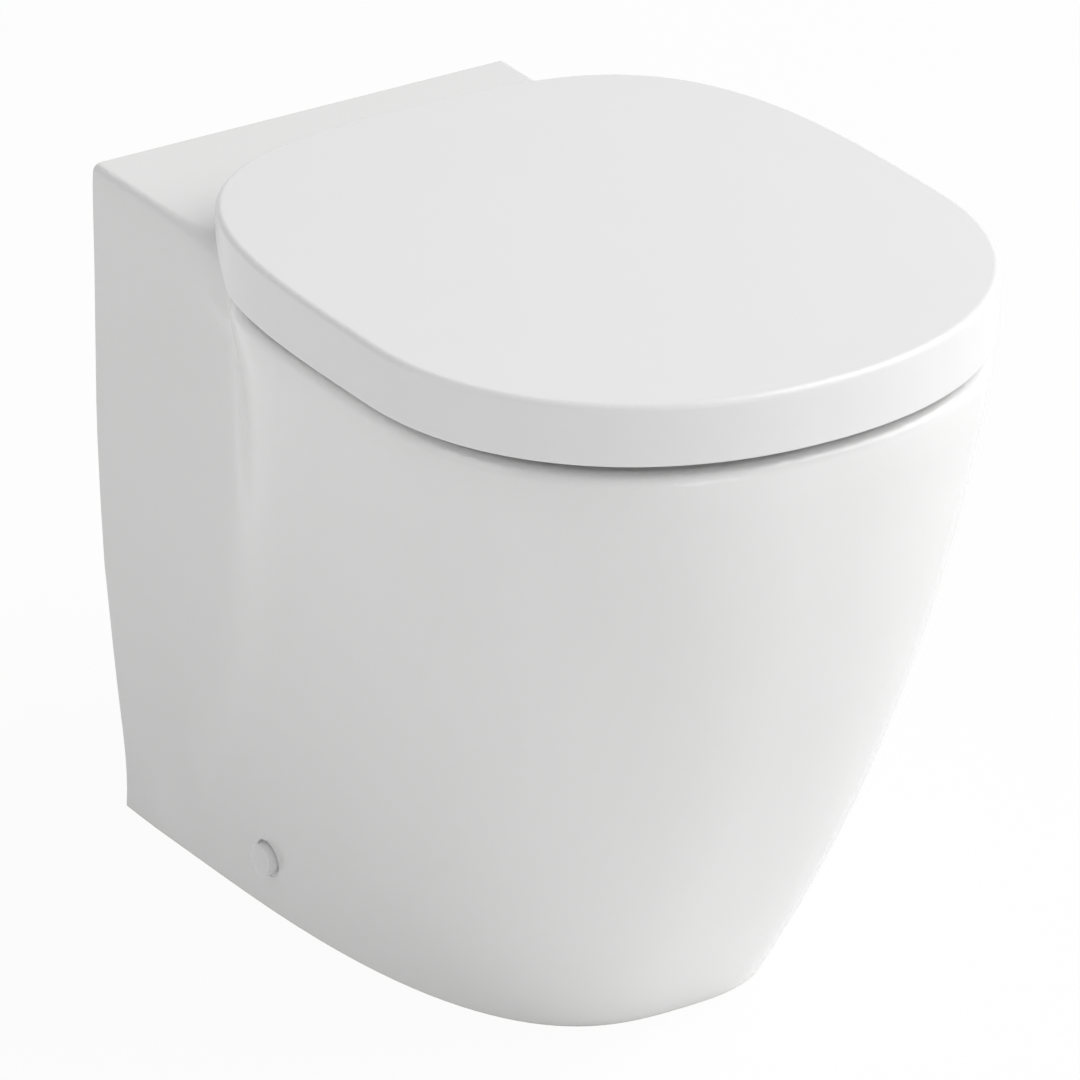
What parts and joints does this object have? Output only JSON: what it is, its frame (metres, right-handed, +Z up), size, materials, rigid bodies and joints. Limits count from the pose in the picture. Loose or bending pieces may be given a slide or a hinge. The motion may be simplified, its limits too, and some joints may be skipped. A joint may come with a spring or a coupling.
{
  "type": "floor-standing back-to-wall toilet",
  "caption": "White ceramic toilet pan that stands back to a wall, with an egg-shaped bowl tapering to a small foot and a thick wrap-over lid on a hinged seat ring.",
  "frame": {"origin": "on the floor, in the middle of the toilet's overall footprint", "axes": "+Z is up; the bowl's front faces -Y and the back of the pan meets the wall at +Y; the object is mirrored across X = 0"},
  "size_m": [0.37, 0.536, 0.4404],
  "materials": {
    "vitreous_china": "white glaze, high gloss",
    "seat_plastic": "white moulded thermoset, soft gloss",
    "buffer_rubber": "translucent white rubber, satin",
    "hinge_metal": "bright plated zinc casting",
    "steel": "stainless steel, fine brushed",
    "damper_plastic": "dark grey acetal, matt",
    "black_rubber": "black rubber, matt",
    "nylon": "natural nylon, matt",
    "cap_plastic": "white plastic, gloss"
  },
  "bodies": {
    "pan": {"pan": "vitreous_china", "hinge_post_right": "hinge_metal", "hinge_post_left": "hinge_metal", "hinge_pin_right": "steel", "hinge_pin_left": "steel", "hinge_gaskets": "black_rubber", "hinge_bolts": "steel", "cone_washers": "black_rubber", "wing_nuts": "nylon", "bracket_right": "nylon", "bracket_left": "nylon", "bracket_nuts": "steel", "side_sleeves": "nylon", "side_screws": "steel", "side_cap_right": "cap_plastic", "side_cap_left": "cap_plastic", "inlet_seal": "black_rubber"},
    "seat": {"seat_ring": "seat_plastic", "seat_buffers": "buffer_rubber", "seat_damper": "damper_plastic", "seat_bush": "damper_plastic"},
    "lid": {"lid": "seat_plastic", "lid_buffers": "buffer_rubber", "lid_bush": "damper_plastic", "lid_damper": "damper_plastic"}
  },
  "joints": [
    {"name": "seat_lift", "type": "hinge", "parent": "pan", "child": "seat", "pos_m": [0, 0.15, 0.423], "axis": [-1, 0, 0], "range_deg": [0, 90]},
    {"name": "lid_lift", "type": "hinge", "parent": "seat", "child": "lid", "pos_m": [0, 0.15, 0.423], "axis": [-1, 0, 0], "range_deg": [0, 94]}
  ]
}
